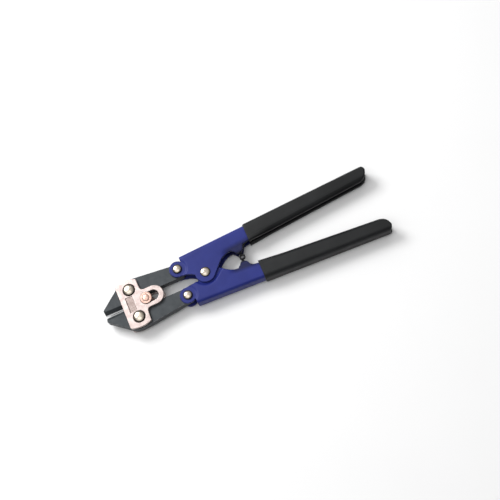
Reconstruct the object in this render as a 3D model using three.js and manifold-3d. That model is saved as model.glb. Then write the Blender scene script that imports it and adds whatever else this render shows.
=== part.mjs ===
// Miniature bolt cutters with compound leverage, 206 mm long, millimetres.
// The tool lies flat: +X runs from the jaw tips to the handle ends, +Y towards the upper handle, +Z up.
// Pieces are drawn from the jaw tips (x = 0) on the centre line (y = 0), half-way through the
// thickness (z = 0), and the finished tool is then moved to stand on z = 0 with its centre at x = y = 0.
// The lower half of the tool is the upper half turned over about the X axis.
import * as THREE from 'three';
import { mergeVertices } from 'three/addons/utils/BufferGeometryUtils.js';
import Module from 'manifold-3d';

const wasm = await Module();
wasm.setup();

// ---- Driving dimensions ----------------------------------------------------------------------

// Linkage: jaws turn on the link plates, ears turn on the jaw tangs, handles turn on each other.
const JAW_PIVOT = { x: 22.1, y: 10.4 };
const EAR_PIVOT = { x: 58.5, y: 10.3 };
const HANDLE_PIVOT = { x: 75.7, y: 0 };
const STUD = { x: 31.1, y: 0 };
const SPRING_COIL = { x: 103.3, y: 1 };
const CLOSING_ANGLE = THREE.MathUtils.degToRad(1.4);

// Heights from the middle plane, and the gaps between stacked and turning faces.
const GAP = 0.2;
const TURNING_GAP = 0.1;
const HEAD_GAP = 0.05;
const JAW_FACE = 3;
const PLATE_THICKNESS = 2;
const PLATE_FACE = JAW_FACE + GAP + PLATE_THICKNESS;
const SHEET = 1.6;
const EAR_FACE = JAW_FACE + GAP + SHEET;
const EAR_PRESS = 0.6;
const CHANNEL_FACE = EAR_FACE + EAR_PRESS;
const INNER_LOBE_FACE = CHANNEL_FACE - SHEET - GAP;
const TOP = 6.5;

// Jaws.
const EDGE_CLEARANCE = 0.09;
const EDGE_LAND = 0.35;
const EDGE_LENGTH = 13.8;
const BEVEL_WIDTH = 2.9;
const BEVEL_RUN_OUT = 2.4;
const JAW_MIDDLE_GAP = 0.75;
const TANG_INNER = 4.4;
const TANG_END = { x: 58.4, y: 9.4, radius: 5 };

// Link plates.
const PLATE_FRONT = 13.5;
const PLATE_CROWN = 19;
const TONGUE_END = { x: 37, radius: 6.9 };
const SLOT = { front: 30.8, back: 36.5, radius: 3.8 };
const PANEL = { x0: 17.4, x1: 22.4, halfHeight: 5.6 };
const RECESS_DEPTH = 0.3;

// Handles: pressed channels with their open sides facing each other.
const WEB_FRONT = { x: 62.4, y: 18.4 };
const WEB_ANGLE = Math.atan(0.0465);
const BEND_RADIUS = 2.4;
const LEAST_INNER_BEND = 0.3;
const EAR_RADIUS = 5.8;
const PIVOT_LOBE_RADIUS = 7.3;
const JOGGLE_CLEARANCE = 1;
const HANDLE_END = 204.9;
const INNER_EDGE = { x: 112, y: 9.1, slope: 0.083 };
const UPPER_THROAT = { x: 66.2, y: 3.4, lobeAngle: 175 };
const LOWER_THROAT = { x: 67.2, y: 4.4, lobeAngle: 155 };
const SPRING_TAB = [[98.4, 6.1], [99.4, 5.6], [101, 3.2], [102.2, 2.9], [105.2, 4.3], [107, 8.3]];

// Vinyl grips.
const GRIP_START = 112;
const GRIP_THICKNESS = TOP - CHANNEL_FACE;
const GRIP_GAP = 0.15;

// Rivets, stud and spring: shank radii, head radii and wire.
const JAW_PIN = { shank: 2.8, head: 4.15 };
const EAR_RIVET = { shank: 2.3, head: 3.3 };
const HANDLE_RIVET = { shank: 2.4, head: 3.5 };
const OPEN_PIVOT_CLEARANCE = 0.3;
const BUSH_RADIUS = 4.2;
const STUD_SIZES = { shank: 2.2, boss: 2.45, roller: 3, shoulder: 3.4, flange: 4.3, flangeFace: 5.95 };
const WASHER_CHAMFER = { width: 0.3, height: 0.2 };
const SPRING = { wire: 1.2, turns: 3, meanRadius: 1.6 };
const SPRING_LEG = { start: 2.3, bend: 8, curve: 2, firstAngle: 54, secondAngle: 24, length: 27 };

// Drawing: sides of a full circle, a domed head's rim as a share of its height, the y of a line
// outside the whole tool, how far cutters reach past what they cut, and how deep joined solids overlap.
const ROUND = 24;
const DOME_RIM = 0.35;
const OUTSIDE = 40;
const OVERCUT = 1;
const OVERLAP = 0.1;

// ---- Materials -------------------------------------------------------------------------------

const finish = (color, roughness, metalness) => new THREE.MeshStandardMaterial({ color, roughness, metalness });
const darkSteel = finish(0x3a3f43, 0.5, 0.6);
const nickel = finish(0xcbb9b2, 0.35, 0.9);
const rivetSteel = finish(0xb9ad9c, 0.25, 0.95);
const copperedSteel = finish(0xd2a79a, 0.35, 0.9);
const bluePaint = finish(0x36408c, 0.4, 0.1);
const blackVinyl = finish(0x1d2022, 0.55, 0);
const springWire = finish(0x16171a, 0.4, 0.8);

// ---- Shape helpers ---------------------------------------------------------------------------

// Turns a closed three.js geometry into a solid that can be joined and cut.
function solid(geometry) {
  const bare = geometry.clone();
  bare.deleteAttribute('normal');
  bare.deleteAttribute('uv');
  const merged = mergeVertices(bare, 1e-5);
  const corners = merged.index.array;
  const triVerts = [];
  for (let i = 0; i < corners.length; i += 3) {
    const [a, b, c] = corners.slice(i, i + 3);
    if (a !== b && b !== c && c !== a) triVerts.push(a, b, c);
  }
  return new wasm.Manifold(new wasm.Mesh({
    numProp: 3,
    vertProperties: Float32Array.from(merged.attributes.position.array),
    triVerts: Uint32Array.from(triVerts),
  }));
}

// Turns a finished solid back into a flat-shaded geometry.
function geometryOf(body) {
  const mesh = body.getMesh();
  const geometry = new THREE.BufferGeometry();
  geometry.setAttribute('position', new THREE.BufferAttribute(mesh.vertProperties, 3));
  geometry.setIndex(new THREE.BufferAttribute(mesh.triVerts, 1));
  const flat = geometry.toNonIndexed();
  flat.computeVertexNormals();
  return flat;
}

// Extrudes an outline in X and Y from height z0 to z1.
function slab(shape, z0, z1, segments = 6) {
  const options = { depth: z1 - z0, bevelEnabled: false, curveSegments: segments };
  return solid(new THREE.ExtrudeGeometry(shape, options).translate(0, 0, z0));
}

// Extrudes a section drawn in Y and Z along X from x0 to x1, and returns the geometry.
function barGeometry(section, x0, x1) {
  const options = { depth: x1 - x0, bevelEnabled: false, curveSegments: 3 };
  const toSectionPlane = new THREE.Matrix4().makeBasis(
    new THREE.Vector3(0, 1, 0), new THREE.Vector3(0, 0, 1), new THREE.Vector3(1, 0, 0));
  return new THREE.ExtrudeGeometry(section, options).applyMatrix4(toSectionPlane).translate(x0, 0, 0);
}

const polygon = (points) => new THREE.Shape(points.map(([x, y]) => new THREE.Vector2(x, y)));

const circle = (centre, radius) => new THREE.Shape().absarc(centre.x, centre.y, radius, 0, 2 * Math.PI, false);

const disc = (centre, radius, z0, z1) => slab(circle(centre, radius), z0, z1, ROUND / 2);

const onCircle = (centre, radius, angle) => [
  centre.x + radius * Math.cos(angle), centre.y + radius * Math.sin(angle)];

const degrees = THREE.MathUtils.degToRad;

// Does the same job at the front face and, turned over, at the back face.
const bothFaces = (make) => make(1).add(make(-1));

// A slab between two heights above the middle plane, or mirrored below it when side is -1.
const slabOn = (side, shape, z0, z1) => (side > 0 ? slab(shape, z0, z1) : slab(shape, -z1, -z0));

// Spins a closed profile of [radius, height] points about a vertical axis through centre.
function turned(profile, centre) {
  const points = profile.map(([r, h]) => new THREE.Vector2(r, h));
  const geometry = new THREE.LatheGeometry(points, ROUND).rotateX(Math.PI / 2);
  return geometry.translate(centre.x, centre.y, 0);
}

// Half of a domed head, from its rim at height z0 to its crown at z1.
function dome(radius, z0, z1, steps = 3) {
  const rim = DOME_RIM * (z1 - z0);
  const points = [[radius, z0]];
  for (let i = 0; i <= steps; i++) {
    const angle = (i / steps) * Math.PI / 2;
    points.push([radius * Math.cos(angle), z0 + rim + (z1 - z0 - rim) * Math.sin(angle)]);
  }
  points[points.length - 1][0] = 0;
  return points;
}

// A rivet with the same domed head on both faces.
function rivet({ shank, head }, seat, centre) {
  const half = [[shank, seat], ...dome(head, seat, TOP)];
  const mirrored = half.map(([r, h]) => [r, -h]).reverse();
  return turned([...mirrored, ...half], centre);
}

// A plain ring.
const ringProfile = (inner, outer, z0, z1) => [[inner, z0], [outer, z0], [outer, z1], [inner, z1], [inner, z0]];

// ---- Jaws ------------------------------------------------------------------------------------

// The cutting edges lie parallel when the jaws are shut, so they part slightly towards the tips.
const edgeY = (x) => EDGE_CLEARANCE + (JAW_PIVOT.x - x) * Math.tan(CLOSING_ANGLE);

function jawOutline() {
  const outline = new THREE.Shape();
  outline.moveTo(0.2, edgeY(0.2));
  outline.lineTo(EDGE_LENGTH, edgeY(EDGE_LENGTH));
  outline.lineTo(EDGE_LENGTH + 0.6, JAW_MIDDLE_GAP);
  outline.lineTo(21.3, JAW_MIDDLE_GAP);
  outline.lineTo(34.6, TANG_INNER);
  outline.absarc(TANG_END.x, TANG_END.y, TANG_END.radius, degrees(-90), degrees(83), false);
  outline.lineTo(32, 17.45);
  outline.quadraticCurveTo(20, 19, 16.6, 17.6);
  outline.quadraticCurveTo(15.2, 17, 13.6, 15.4);
  outline.lineTo(0.5, 4.9);
  outline.quadraticCurveTo(0, 4.5, 0, 4);
  return outline;
}

// Material ground away on one face so that the jaw thins to its cutting edge.
function bevelCutter(side) {
  const above = side * (JAW_FACE + OVERLAP);
  const beyond = -BEVEL_WIDTH;
  const section = polygon([
    [beyond, side * EDGE_LAND], [0, side * EDGE_LAND], [BEVEL_WIDTH, above], [beyond, above]]);
  const wedge = barGeometry(section, -JAW_PIVOT.x - OVERCUT, EDGE_LENGTH + BEVEL_RUN_OUT - JAW_PIVOT.x);
  return solid(wedge.rotateZ(-CLOSING_ANGLE).translate(JAW_PIVOT.x, EDGE_CLEARANCE, 0));
}

function jaw() {
  return slab(jawOutline(), -JAW_FACE, JAW_FACE)
    .subtract(bothFaces(bevelCutter))
    .subtract(disc(JAW_PIVOT, JAW_PIN.shank + TURNING_GAP, -TOP, TOP))
    .subtract(disc(EAR_PIVOT, EAR_RIVET.shank + TURNING_GAP, -TOP, TOP));
}

// ---- Link plates -----------------------------------------------------------------------------

function plateOutline() {
  const outline = new THREE.Shape();
  const tongue = TONGUE_END.radius;
  outline.moveTo(PLATE_FRONT, -15.2);
  outline.quadraticCurveTo(PLATE_FRONT, -16.4, 14.7, -16.7);
  outline.quadraticCurveTo(21.8, -PLATE_CROWN, 28.3, -16.5);
  outline.quadraticCurveTo(29.2, -16.2, 29.1, -15.3);
  outline.lineTo(29.3, -9.6);
  outline.quadraticCurveTo(29.5, -tongue, 32.4, -tongue);
  outline.absarc(TONGUE_END.x, 0, tongue, degrees(-90), degrees(90), false);
  outline.lineTo(32.4, tongue);
  outline.quadraticCurveTo(29.5, tongue, 29.3, 9.6);
  outline.lineTo(29.1, 15.3);
  outline.quadraticCurveTo(29.2, 16.2, 28.3, 16.5);
  outline.quadraticCurveTo(21.8, PLATE_CROWN, 14.7, 16.7);
  outline.quadraticCurveTo(PLATE_FRONT, 16.4, PLATE_FRONT, 15.2);
  return outline;
}

// Round-ended slot along X.
function slotShape({ front, back, radius }) {
  const slot = new THREE.Shape();
  slot.absarc(back, 0, radius, degrees(-90), degrees(90), false);
  slot.absarc(front, 0, radius, degrees(90), degrees(270), false);
  return slot;
}

function linkPlate() {
  const bottom = JAW_FACE + GAP;
  const above = PLATE_FACE + OVERCUT;
  const below = bottom - OVERCUT;
  const lowerPin = { x: JAW_PIVOT.x, y: -JAW_PIVOT.y };
  const { x0, x1, halfHeight } = PANEL;
  let plate = slab(plateOutline(), bottom, PLATE_FACE).subtract(slab(slotShape(SLOT), below, above));
  for (const pin of [JAW_PIVOT, lowerPin]) {
    plate = plate
      .subtract(disc(pin, JAW_PIN.shank + TURNING_GAP, below, above))
      .subtract(disc(pin, JAW_PIN.head + GAP, PLATE_FACE - RECESS_DEPTH, above));
  }
  const panel = polygon([[x0, -halfHeight], [x1, -halfHeight], [x1, halfHeight], [x0, halfHeight]]);
  return plate.subtract(slab(panel, PLATE_FACE - RECESS_DEPTH, above));
}

// ---- Handles ---------------------------------------------------------------------------------

const innerEdgeY = (x, grow) => INNER_EDGE.y + INNER_EDGE.slope * (x - INNER_EDGE.x) - grow;
const webY = (x) => WEB_FRONT.y + Math.tan(WEB_ANGLE) * (x - WEB_FRONT.x);

// Adds the rear end of a handle to an outline: inner corner well rounded, outer corner less so.
function addRearEnd(outline, grow) {
  const end = HANDLE_END + grow;
  const outer = webY(end) + grow;
  outline.lineTo(end - 6.5, innerEdgeY(end - 6.5, grow));
  outline.quadraticCurveTo(end - 1.4, innerEdgeY(end, grow) + 0.6, end, outer - 3.9);
  outline.quadraticCurveTo(end + 0.2, outer - 0.5, end - 2.4, outer + 0.2);
  outline.lineTo(end - 2.4, OUTSIDE);
}

// The flanges' outline. The throat is the hollow between ear and pivot lobe.
function flangeOutline(throat) {
  const outline = new THREE.Shape();
  const earTop = Math.acos((WEB_FRONT.x - EAR_PIVOT.x) / EAR_RADIUS);
  outline.moveTo(WEB_FRONT.x, OUTSIDE);
  outline.lineTo(...onCircle(EAR_PIVOT, EAR_RADIUS, earTop));
  outline.absarc(EAR_PIVOT.x, EAR_PIVOT.y, EAR_RADIUS, earTop, degrees(275), false);
  const lobeAngle = degrees(throat.lobeAngle);
  outline.quadraticCurveTo(throat.x, throat.y, ...onCircle(HANDLE_PIVOT, PIVOT_LOBE_RADIUS, lobeAngle));
  outline.absarc(HANDLE_PIVOT.x, HANDLE_PIVOT.y, PIVOT_LOBE_RADIUS, lobeAngle, degrees(322), false);
  outline.lineTo(87.6, 2.2);
  outline.quadraticCurveTo(91.8, 6.9, 98, 6.9);
  for (const [x, y] of SPRING_TAB) outline.lineTo(x, y);
  outline.lineTo(GRIP_START, innerEdgeY(GRIP_START, 0));
  addRearEnd(outline, 0);
  return outline;
}

// Pressed channel, open towards the centre line, thickened on every side by grow.
function channel(grow) {
  const far = -OUTSIDE;
  const face = CHANNEL_FACE + grow;
  const inside = CHANNEL_FACE - SHEET - grow;
  const web = grow;
  const webInside = -SHEET - grow;
  const bend = BEND_RADIUS + grow;
  const innerBend = Math.max(BEND_RADIUS - SHEET - grow, LEAST_INNER_BEND);
  const section = new THREE.Shape();
  section.moveTo(far, -face);
  section.lineTo(web - bend, -face);
  section.quadraticCurveTo(web, -face, web, bend - face);
  section.lineTo(web, face - bend);
  section.quadraticCurveTo(web, face, web - bend, face);
  section.lineTo(far, face);
  section.lineTo(far, inside);
  section.lineTo(webInside - innerBend, inside);
  section.quadraticCurveTo(webInside, inside, webInside, inside - innerBend);
  section.lineTo(webInside, innerBend - inside);
  section.quadraticCurveTo(webInside, -inside, webInside - innerBend, -inside);
  section.lineTo(far, -inside);
  const bar = barGeometry(section, -OUTSIDE, HANDLE_END - WEB_FRONT.x + OUTSIDE);
  return solid(bar.rotateZ(WEB_ANGLE).translate(WEB_FRONT.x, WEB_FRONT.y, 0));
}

// The ears are pressed in to meet the jaw's tang.
function withEars(handle) {
  const ear = circle(EAR_PIVOT, EAR_RADIUS);
  return handle
    .subtract(bothFaces((side) => slabOn(side, ear, EAR_FACE, CHANNEL_FACE + OVERCUT)))
    .add(bothFaces((side) => slabOn(side, ear, EAR_FACE - SHEET, EAR_FACE)))
    .subtract(disc(EAR_PIVOT, EAR_RIVET.shank + TURNING_GAP, -TOP, TOP));
}

// Ground that the other handle's lobe sweeps, grown by a margin: a disc about the handle pivot and
// the wedge behind it where the two flanges cross.
function sweptGround(side, margin, z0, z1) {
  const { x, y } = HANDLE_PIVOT;
  const shift = [0.65 * margin, 0.76 * margin];
  const wedge = polygon([
    [x, y - 7], [x + 14, y - 9], [x + 12.1 + shift[0], y - 0.6 + shift[1]],
    [x + 5.2 + shift[0], y + 5.2 + shift[1]], [x, y]]);
  return slabOn(side, circle(HANDLE_PIVOT, PIVOT_LOBE_RADIUS + margin), z0, z1).add(slabOn(side, wedge, z0, z1));
}

// The lower handle's lobes are pressed inwards, to pass between the upper handle's lobes.
function withInnerLobes(handle) {
  const outside = CHANNEL_FACE + OVERCUT;
  const plan = slab(flangeOutline(LOWER_THROAT), -outside, outside);
  const wide = JOGGLE_CLEARANCE + SHEET;
  const clear = (side) => sweptGround(side, JOGGLE_CLEARANCE, INNER_LOBE_FACE, outside);
  const lobe = (side) => sweptGround(side, wide, INNER_LOBE_FACE - SHEET, CHANNEL_FACE - SHEET + OVERLAP);
  const pressed = bothFaces(lobe).intersect(plan);
  return handle.add(pressed).subtract(bothFaces(clear));
}

function handle(hasInnerLobes) {
  const plan = slab(flangeOutline(hasInnerLobes ? LOWER_THROAT : UPPER_THROAT), -TOP, TOP);
  const pressed = withEars(channel(0).intersect(plan));
  const lobed = hasInnerLobes ? withInnerLobes(pressed) : pressed;
  const clearance = hasInnerLobes ? OPEN_PIVOT_CLEARANCE : TURNING_GAP;
  return lobed.subtract(disc(HANDLE_PIVOT, HANDLE_RIVET.shank + clearance, -TOP, TOP));
}

// Vinyl sleeve dipped over the channel, lining its inside too, with the steel's space left in it.
function grip() {
  const height = TOP + OVERCUT;
  const plan = (grow, start) => {
    const outline = new THREE.Shape();
    outline.moveTo(start, OUTSIDE);
    outline.lineTo(start, innerEdgeY(start, grow));
    addRearEnd(outline, grow);
    return slab(outline, -height, height);
  };
  const sleeve = channel(GRIP_THICKNESS).intersect(plan(GRIP_THICKNESS, GRIP_START));
  return sleeve.subtract(channel(GRIP_GAP).intersect(plan(GRIP_GAP, GRIP_START - OVERCUT)));
}

// ---- Centre stud -----------------------------------------------------------------------------

function studProfile() {
  const { shank, boss, flangeFace } = STUD_SIZES;
  const seat = flangeFace + HEAD_GAP;
  const half = [[shank, seat], ...dome(boss, seat, TOP)];
  return [...half.map(([r, h]) => [r, -h]).reverse(), ...half];
}

const studRollerProfile = ringProfile(
  STUD_SIZES.shank + TURNING_GAP, STUD_SIZES.roller, -JAW_FACE, JAW_FACE);

// Shouldered washer: the shoulder runs in the plate's slot, the flange lies on the plate.
function studWasherProfile() {
  const { shank, shoulder, flange, flangeFace } = STUD_SIZES;
  const bore = shank + TURNING_GAP;
  const foot = JAW_FACE + TURNING_GAP;
  const seat = PLATE_FACE + TURNING_GAP;
  return [
    [bore, foot], [shoulder, foot], [shoulder, seat], [flange, seat],
    [flange, flangeFace - WASHER_CHAMFER.height], [flange - WASHER_CHAMFER.width, flangeFace],
    [bore, flangeFace], [bore, foot]];
}

// ---- Handle pivot and return spring ------------------------------------------------------------

const bushHalfLength = INNER_LOBE_FACE - SHEET - GAP;
const handleBushProfile = ringProfile(
  HANDLE_RIVET.shank + TURNING_GAP, BUSH_RADIUS, -bushHalfLength, bushHalfLength);

const coilHalfLength = SPRING.turns * SPRING.wire / 2;
const springCoilProfile = ringProfile(
  SPRING.meanRadius - SPRING.wire / 2, SPRING.meanRadius + SPRING.wire / 2, -coilHalfLength, coilHalfLength);

// One straight-and-bent leg, in line with the tangent of the coil's turns, towards side (+1 up, -1 down).
function springLeg(side) {
  const { start, bend, curve, firstAngle, secondAngle, length } = SPRING_LEG;
  const height = side * (coilHalfLength - SPRING.wire / 2);
  const at = (from, distance, angle) => new THREE.Vector3(
    from.x + distance * Math.cos(degrees(angle)),
    from.y + side * distance * Math.sin(degrees(angle)), height);
  const tangent = at(SPRING_COIL, SPRING.meanRadius, firstAngle + 90);
  const first = at(tangent, start, firstAngle);
  const corner = at(tangent, bend, firstAngle);
  const straightEnd = at(corner, -curve, firstAngle);
  const beyond = at(corner, curve, secondAngle);
  const tip = at(corner, length - bend, secondAngle);
  const path = new THREE.CurvePath();
  path.add(new THREE.LineCurve3(first, straightEnd));
  path.add(new THREE.QuadraticBezierCurve3(straightEnd, corner, beyond));
  path.add(new THREE.LineCurve3(beyond, tip));
  const wire = new THREE.Shape().absarc(0, 0, SPRING.wire / 2, 0, 2 * Math.PI, false);
  return new THREE.ExtrudeGeometry(wire, { steps: 10, extrudePath: path, curveSegments: 4 });
}

// ---- Assembly --------------------------------------------------------------------------------

const tool = new THREE.Group();

function place(name, geometry, material, turnedOver = false) {
  const mesh = new THREE.Mesh(geometry, material);
  mesh.name = name;
  mesh.rotation.x = turnedOver ? Math.PI : 0;
  tool.add(mesh);
}

const jawGeometry = geometryOf(jaw());
const plateGeometry = geometryOf(linkPlate());
const gripGeometry = geometryOf(grip());
const studWasherGeometry = turned(studWasherProfile(), STUD);
const jawPinGeometry = rivet(JAW_PIN, PLATE_FACE - RECESS_DEPTH + HEAD_GAP, JAW_PIVOT);
const earRivetGeometry = rivet(EAR_RIVET, EAR_FACE + HEAD_GAP, EAR_PIVOT);

place('front_link_plate', plateGeometry, nickel);
place('back_link_plate', plateGeometry, nickel, true);
place('upper_jaw_pin', jawPinGeometry, rivetSteel);
place('lower_jaw_pin', jawPinGeometry, rivetSteel, true);
place('upper_jaw', jawGeometry, darkSteel);
place('lower_jaw', jawGeometry, darkSteel, true);
place('center_stud', turned(studProfile(), STUD), copperedSteel);
place('stud_roller', turned(studRollerProfile, STUD), darkSteel);
place('front_stud_washer', studWasherGeometry, copperedSteel);
place('back_stud_washer', studWasherGeometry, copperedSteel, true);
place('upper_handle', geometryOf(handle(false)), bluePaint);
place('lower_handle', geometryOf(handle(true)), bluePaint, true);
place('upper_grip', gripGeometry, blackVinyl);
place('lower_grip', gripGeometry, blackVinyl, true);
place('upper_ear_rivet', earRivetGeometry, rivetSteel);
place('lower_ear_rivet', earRivetGeometry, rivetSteel, true);
place('handle_rivet', rivet(HANDLE_RIVET, CHANNEL_FACE + HEAD_GAP, HANDLE_PIVOT), rivetSteel);
place('handle_bush', turned(handleBushProfile, HANDLE_PIVOT), darkSteel);
place('spring_coil', turned(springCoilProfile, SPRING_COIL), springWire);
place('spring_upper_leg', springLeg(1), springWire);
place('spring_lower_leg', springLeg(-1), springWire);

// Stand the tool on z = 0 with its outline centred on the origin.
const box = new THREE.Box3().setFromObject(tool);
tool.position.set(-(box.min.x + box.max.x) / 2, -(box.min.y + box.max.y) / 2, -box.min.z);

export default tool;
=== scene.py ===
import math

import bmesh
import bpy
import numpy as np
from mathutils import Matrix, Vector
from mathutils.geometry import delaunay_2d_cdt


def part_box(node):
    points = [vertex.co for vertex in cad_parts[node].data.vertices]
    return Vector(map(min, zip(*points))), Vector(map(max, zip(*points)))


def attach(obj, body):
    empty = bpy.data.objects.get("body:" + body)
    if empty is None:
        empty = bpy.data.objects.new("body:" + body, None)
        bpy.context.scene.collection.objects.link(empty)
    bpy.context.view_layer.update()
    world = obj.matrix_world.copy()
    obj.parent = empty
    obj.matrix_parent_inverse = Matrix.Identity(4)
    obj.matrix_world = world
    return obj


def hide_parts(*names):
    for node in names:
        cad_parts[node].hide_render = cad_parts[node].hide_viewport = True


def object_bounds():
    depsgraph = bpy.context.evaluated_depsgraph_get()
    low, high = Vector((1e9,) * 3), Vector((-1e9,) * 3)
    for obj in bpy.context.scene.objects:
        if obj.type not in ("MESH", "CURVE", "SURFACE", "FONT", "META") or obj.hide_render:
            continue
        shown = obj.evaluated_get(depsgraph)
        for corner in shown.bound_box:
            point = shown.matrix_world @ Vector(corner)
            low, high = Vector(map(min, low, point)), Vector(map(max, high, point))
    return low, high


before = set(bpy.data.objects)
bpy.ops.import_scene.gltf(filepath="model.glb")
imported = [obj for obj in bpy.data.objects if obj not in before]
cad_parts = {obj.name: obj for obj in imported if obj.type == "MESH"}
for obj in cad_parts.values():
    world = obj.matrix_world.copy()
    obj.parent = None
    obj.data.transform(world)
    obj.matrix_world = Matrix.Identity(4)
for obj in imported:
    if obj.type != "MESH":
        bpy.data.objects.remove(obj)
CAD_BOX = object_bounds()

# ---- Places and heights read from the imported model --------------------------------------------

MM = 0.001
TIP_X = CAD_BOX[0].x
MIDDLE_Z = (CAD_BOX[0].z + CAD_BOX[1].z) / 2


def in_frame(u, v, z):
    """A drawn point, in millimetres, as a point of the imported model's frame, in metres."""
    return Vector((TIP_X + u * MM, v * MM, MIDDLE_Z + z * MM))


def centre_of(node):
    """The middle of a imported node, seen from above, in the drawing frame."""
    low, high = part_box(node)
    return ((low.x + high.x) / 2 - TIP_X) / MM, (low.y + high.y) / 2 / MM


def face_of(node):
    """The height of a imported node's highest face over the middle plane, in millimetres."""
    return (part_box(node)[1].z - MIDDLE_Z) / MM


JAW_PIVOT = centre_of("upper_jaw_pin")
EAR_PIVOT = centre_of("upper_ear_rivet")
HANDLE_PIVOT = centre_of("handle_rivet")
STUD = centre_of("center_stud")
COIL = centre_of("spring_coil")

JAW_FACE = face_of("upper_jaw")
PLATE_FACE = face_of("front_link_plate")
CHANNEL_FACE = face_of("upper_handle")
TOP = face_of("upper_grip")

# ---- Sizes of the drawing, in millimetres -------------------------------------------------------

GAP = 0.2
TURNING_GAP = 0.1
HEAD_GAP = 0.05
SHEET = 1.6

# Jaws.
CLOSING_ANGLE = math.radians(1.4)
EDGE_CLEARANCE = 0.09
EDGE_LAND = 0.35
EDGE_LENGTH = 13.8
BEVEL_WIDTH = 2.9
BEVEL_SLOPE = (JAW_FACE + 0.1 - EDGE_LAND) / BEVEL_WIDTH
BEVEL_END = 16.2
BEVEL_END_SLOPE = 4
# The honed strip along the cutting edge is painted near white, as honed steel and as a painted highlight
# along the slit.
HONED_AND_LIT_WIDTH = 0.4
JAW_ROUND = 0.22
JAW_MIDDLE_GAP = 0.75
TANG_INNER = 4.4
TANG_END = (58.4, 9.4)
TANG_END_RADIUS = 5

# Link plates. A step is a slope between two distances from the edge that it follows.
PLATE_FRONT = 13.5
PLATE_CROWN = 19
PLATE_BOTTOM = JAW_FACE + GAP
TONGUE_END = (37, 0)
TONGUE_RADIUS = 6.9
SLOT_FRONT = (30.8, 0)
SLOT_BACK = (36.5, 0)
SLOT_RADIUS = 3.8
PANEL_MIDDLE = (19.9, 0)
PANEL_HALF_WIDTH = 2.5
PANEL_HALF_HEIGHT = 5.6
RECESS_DEPTH = 0.3
PANEL_STEP = (-0.18, 0.12)
SEAT_STEP = (0.1, 0.35)
PLATE_ROUND, SLOT_ROUND, PIN_HOLE_ROUND = 0.35, 0.3, 0.1

# Handles: pressed channels. A throat is the control point of the hollow between ear and pivot lobe.
EAR_FACE = JAW_FACE + GAP + SHEET
INNER_LOBE_FACE = CHANNEL_FACE - SHEET - GAP
WEB_FRONT = (62.4, 18.4)
WEB_ANGLE = math.atan(0.0465)
BEND_RADIUS = 2.4
EAR_RADIUS = 5.8
PIVOT_LOBE_RADIUS = 7.3
HANDLE_END = 204.9
UPPER_THROAT, UPPER_LOBE_ANGLE = (66.2, 3.4), 175
LOWER_THROAT, LOWER_LOBE_ANGLE = (67.2, 4.4), 155
INNER_EDGE = (112, 9.1)
INNER_EDGE_SLOPE = 0.083
SPRING_TAB = [(98.4, 6.1), (99.4, 5.6), (101, 3.2), (102.2, 2.9), (105.2, 4.3), (107, 8.3)]
TAB_PRESS = 1.4
TAB_ROOT = 7.3
EAR_STEP = (0.1, 1.5)
LOBE_STEP = (0.75, 2.5)
LOBE_REACH = 20
STEEL_LIP_DROP = 0.8
STEEL_LIP_FADE = (90, 97)
SHEET_ROUND, SHEET_HOLE_ROUND = 0.4, 0.15
# How much painted shade the turned-in lips get, and the least painted shade that is marked.
SHADE_ON_LIP, LEAST_SHADE = 0.7, 0.05

# The handles' flat pattern: where it starts, where its pressed part ends and where it ends, and the
# spacing of its points.
PATTERN_FRONT, PRESSED_END, PATTERN_END = -11, 52, 143
PRESSED_SPACING, PLAIN_SPACING = 0.55, 1.4

# Grips. Each rolls over towards its inner lip, less at its mouth and on its inside.
GRIP_START = 112
GRIP_LENGTH = HANDLE_END - GRIP_START + 3
GRIP_THICKNESS = TOP - CHANNEL_FACE
LIP_WIDTH = 3.2
LIP_DROP = 1.9
LIP_FADE = 20
LIP_GROOVE = 0.14
LIP_CURVE = 1.4
LIP_AT_MOUTH = 0.15
LIP_INSIDE = 0.35
GROOVE_HALF_WIDTH = 0.5
INSIDE_BEND = 0.3
INSIDE_DEPTH = BEND_RADIUS + 0.6
GRIP_ROUND, GRIP_MOUTH_ROUND = 1.1, 0.6
GRIP_SPACING = 1.5

# Rivets, stud and spring.
JAW_PIN_SHANK, JAW_PIN_HEAD = 2.8, 4.15
EAR_RIVET_SHANK, EAR_RIVET_HEAD = 2.3, 3.3
HANDLE_RIVET_SHANK, HANDLE_RIVET_HEAD = 2.4, 3.5
OPEN_PIVOT_CLEARANCE = 0.3
BUSH_RADIUS = 4.2
STUD_SHANK, STUD_BOSS, STUD_ROLLER, STUD_SHOULDER, STUD_FLANGE = 2.2, 2.45, 3, 3.4, 4.3
STUD_FLANGE_FACE = 5.95
DOME_RIM, DOME_EASE, DOME_STEPS = 0.3, 0.12, 14
RING_EASE, WASHER_EASE = 0.25, 0.2
WIRE = 1.2
COIL_TURNS = 3
COIL_STEPS_PER_TURN = 26
COIL_RADIUS = 1.6
LEG_ANGLES = (54, 24)
LEG_BEND = 8
LEG_LENGTH = 27

# ---- Outlines -----------------------------------------------------------------------------------


def on_circle(centre, radius, angle):
    """The point of a circle at an angle in degrees."""
    turn = math.radians(angle)
    return centre[0] + radius * math.cos(turn), centre[1] + radius * math.sin(turn)


def arc(centre, radius, start, end, steps):
    """Points along a circle from one angle to another, in degrees."""
    return [on_circle(centre, radius, start + (end - start) * i / steps) for i in range(steps + 1)]


def curve(start, control, end, steps=10):
    """Points along a quadratic curve."""
    points = []
    for i in range(steps + 1):
        t = i / steps
        near, middle, far = (1 - t) ** 2, 2 * t * (1 - t), t ** 2
        points.append(tuple(near * a + middle * b + far * c for a, b, c in zip(start, control, end)))
    return points


def circle(centre, radius, steps=48):
    """A round hole: its points run clockwise, so that the material lies on their left."""
    return arc(centre, radius, 360, 0, steps)[:-1]


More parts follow.
